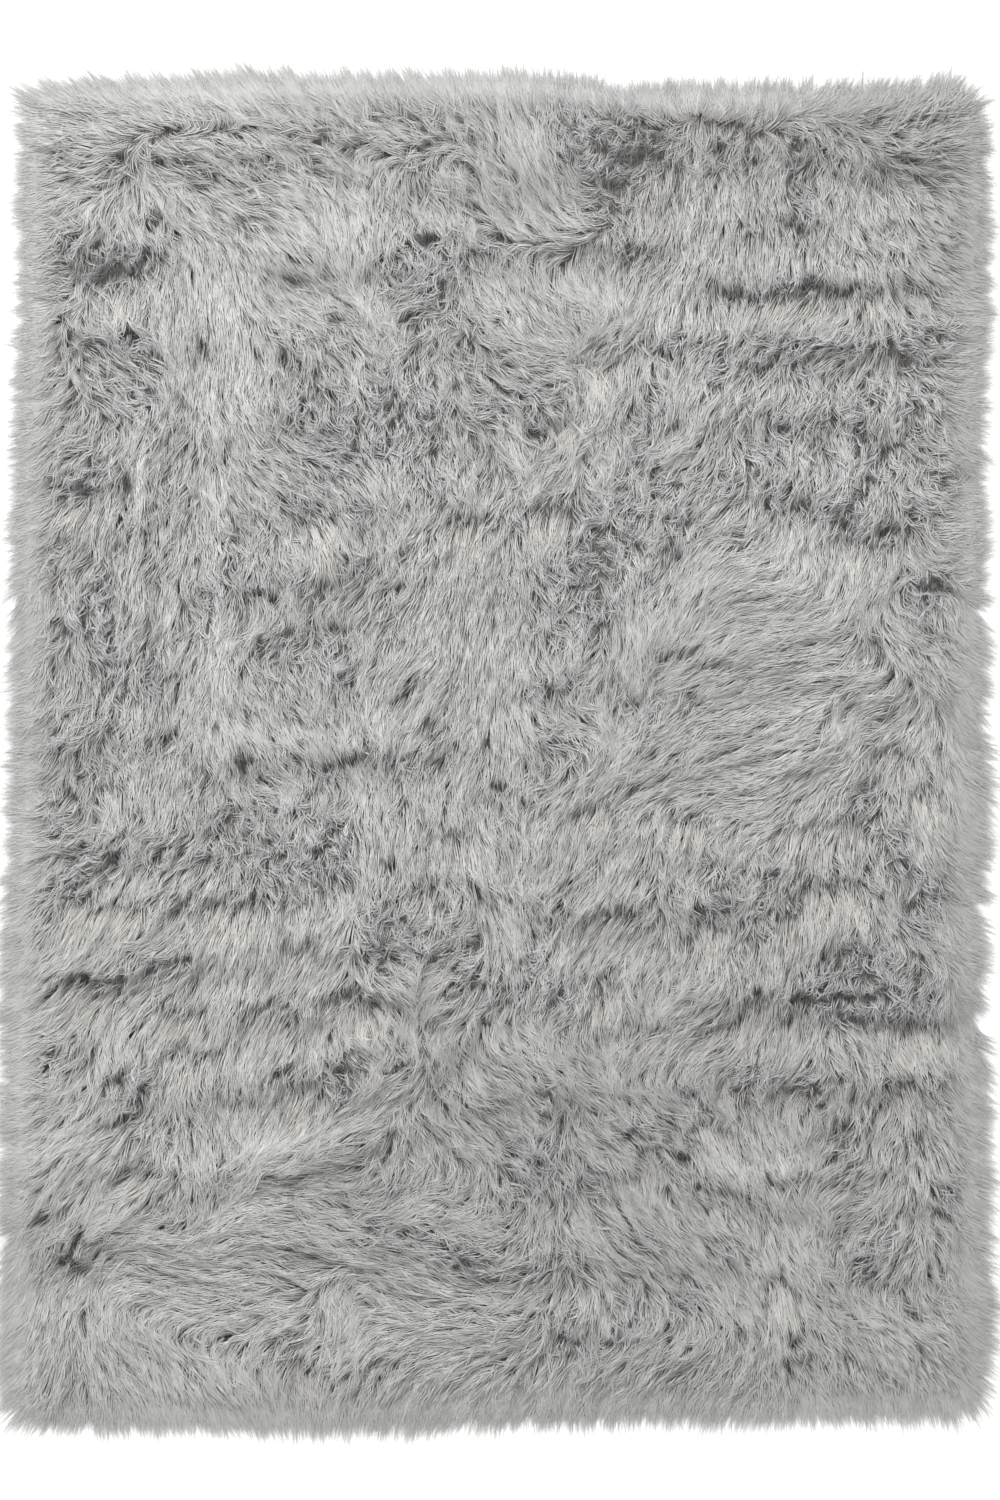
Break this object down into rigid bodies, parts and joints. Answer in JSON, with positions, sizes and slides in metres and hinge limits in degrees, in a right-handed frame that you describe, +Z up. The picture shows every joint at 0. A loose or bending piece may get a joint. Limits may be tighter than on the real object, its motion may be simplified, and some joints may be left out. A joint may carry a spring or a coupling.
{
  "type": "shag rug",
  "caption": "Rectangular long-pile shag rug lying flat, with combed and tousled pile and tapered locks lying out all round its rim.",
  "frame": {"origin": "centre of the footprint over the tips of the rim locks, on the surface that the rug lies on", "axes": "+Y along the rug's long way, against the way that most of the pile lies; +X across it; +Z up out of the pile"},
  "size_m": [1.5466, 2.1196, 0.0531],
  "materials": {
    "pile": "soft pale grey long pile, matt at the tips and slightly lustrous where it is combed flat"
  },
  "bodies": {
    "root": {"shag_rug": "pile"}
  },
  "joints": []
}
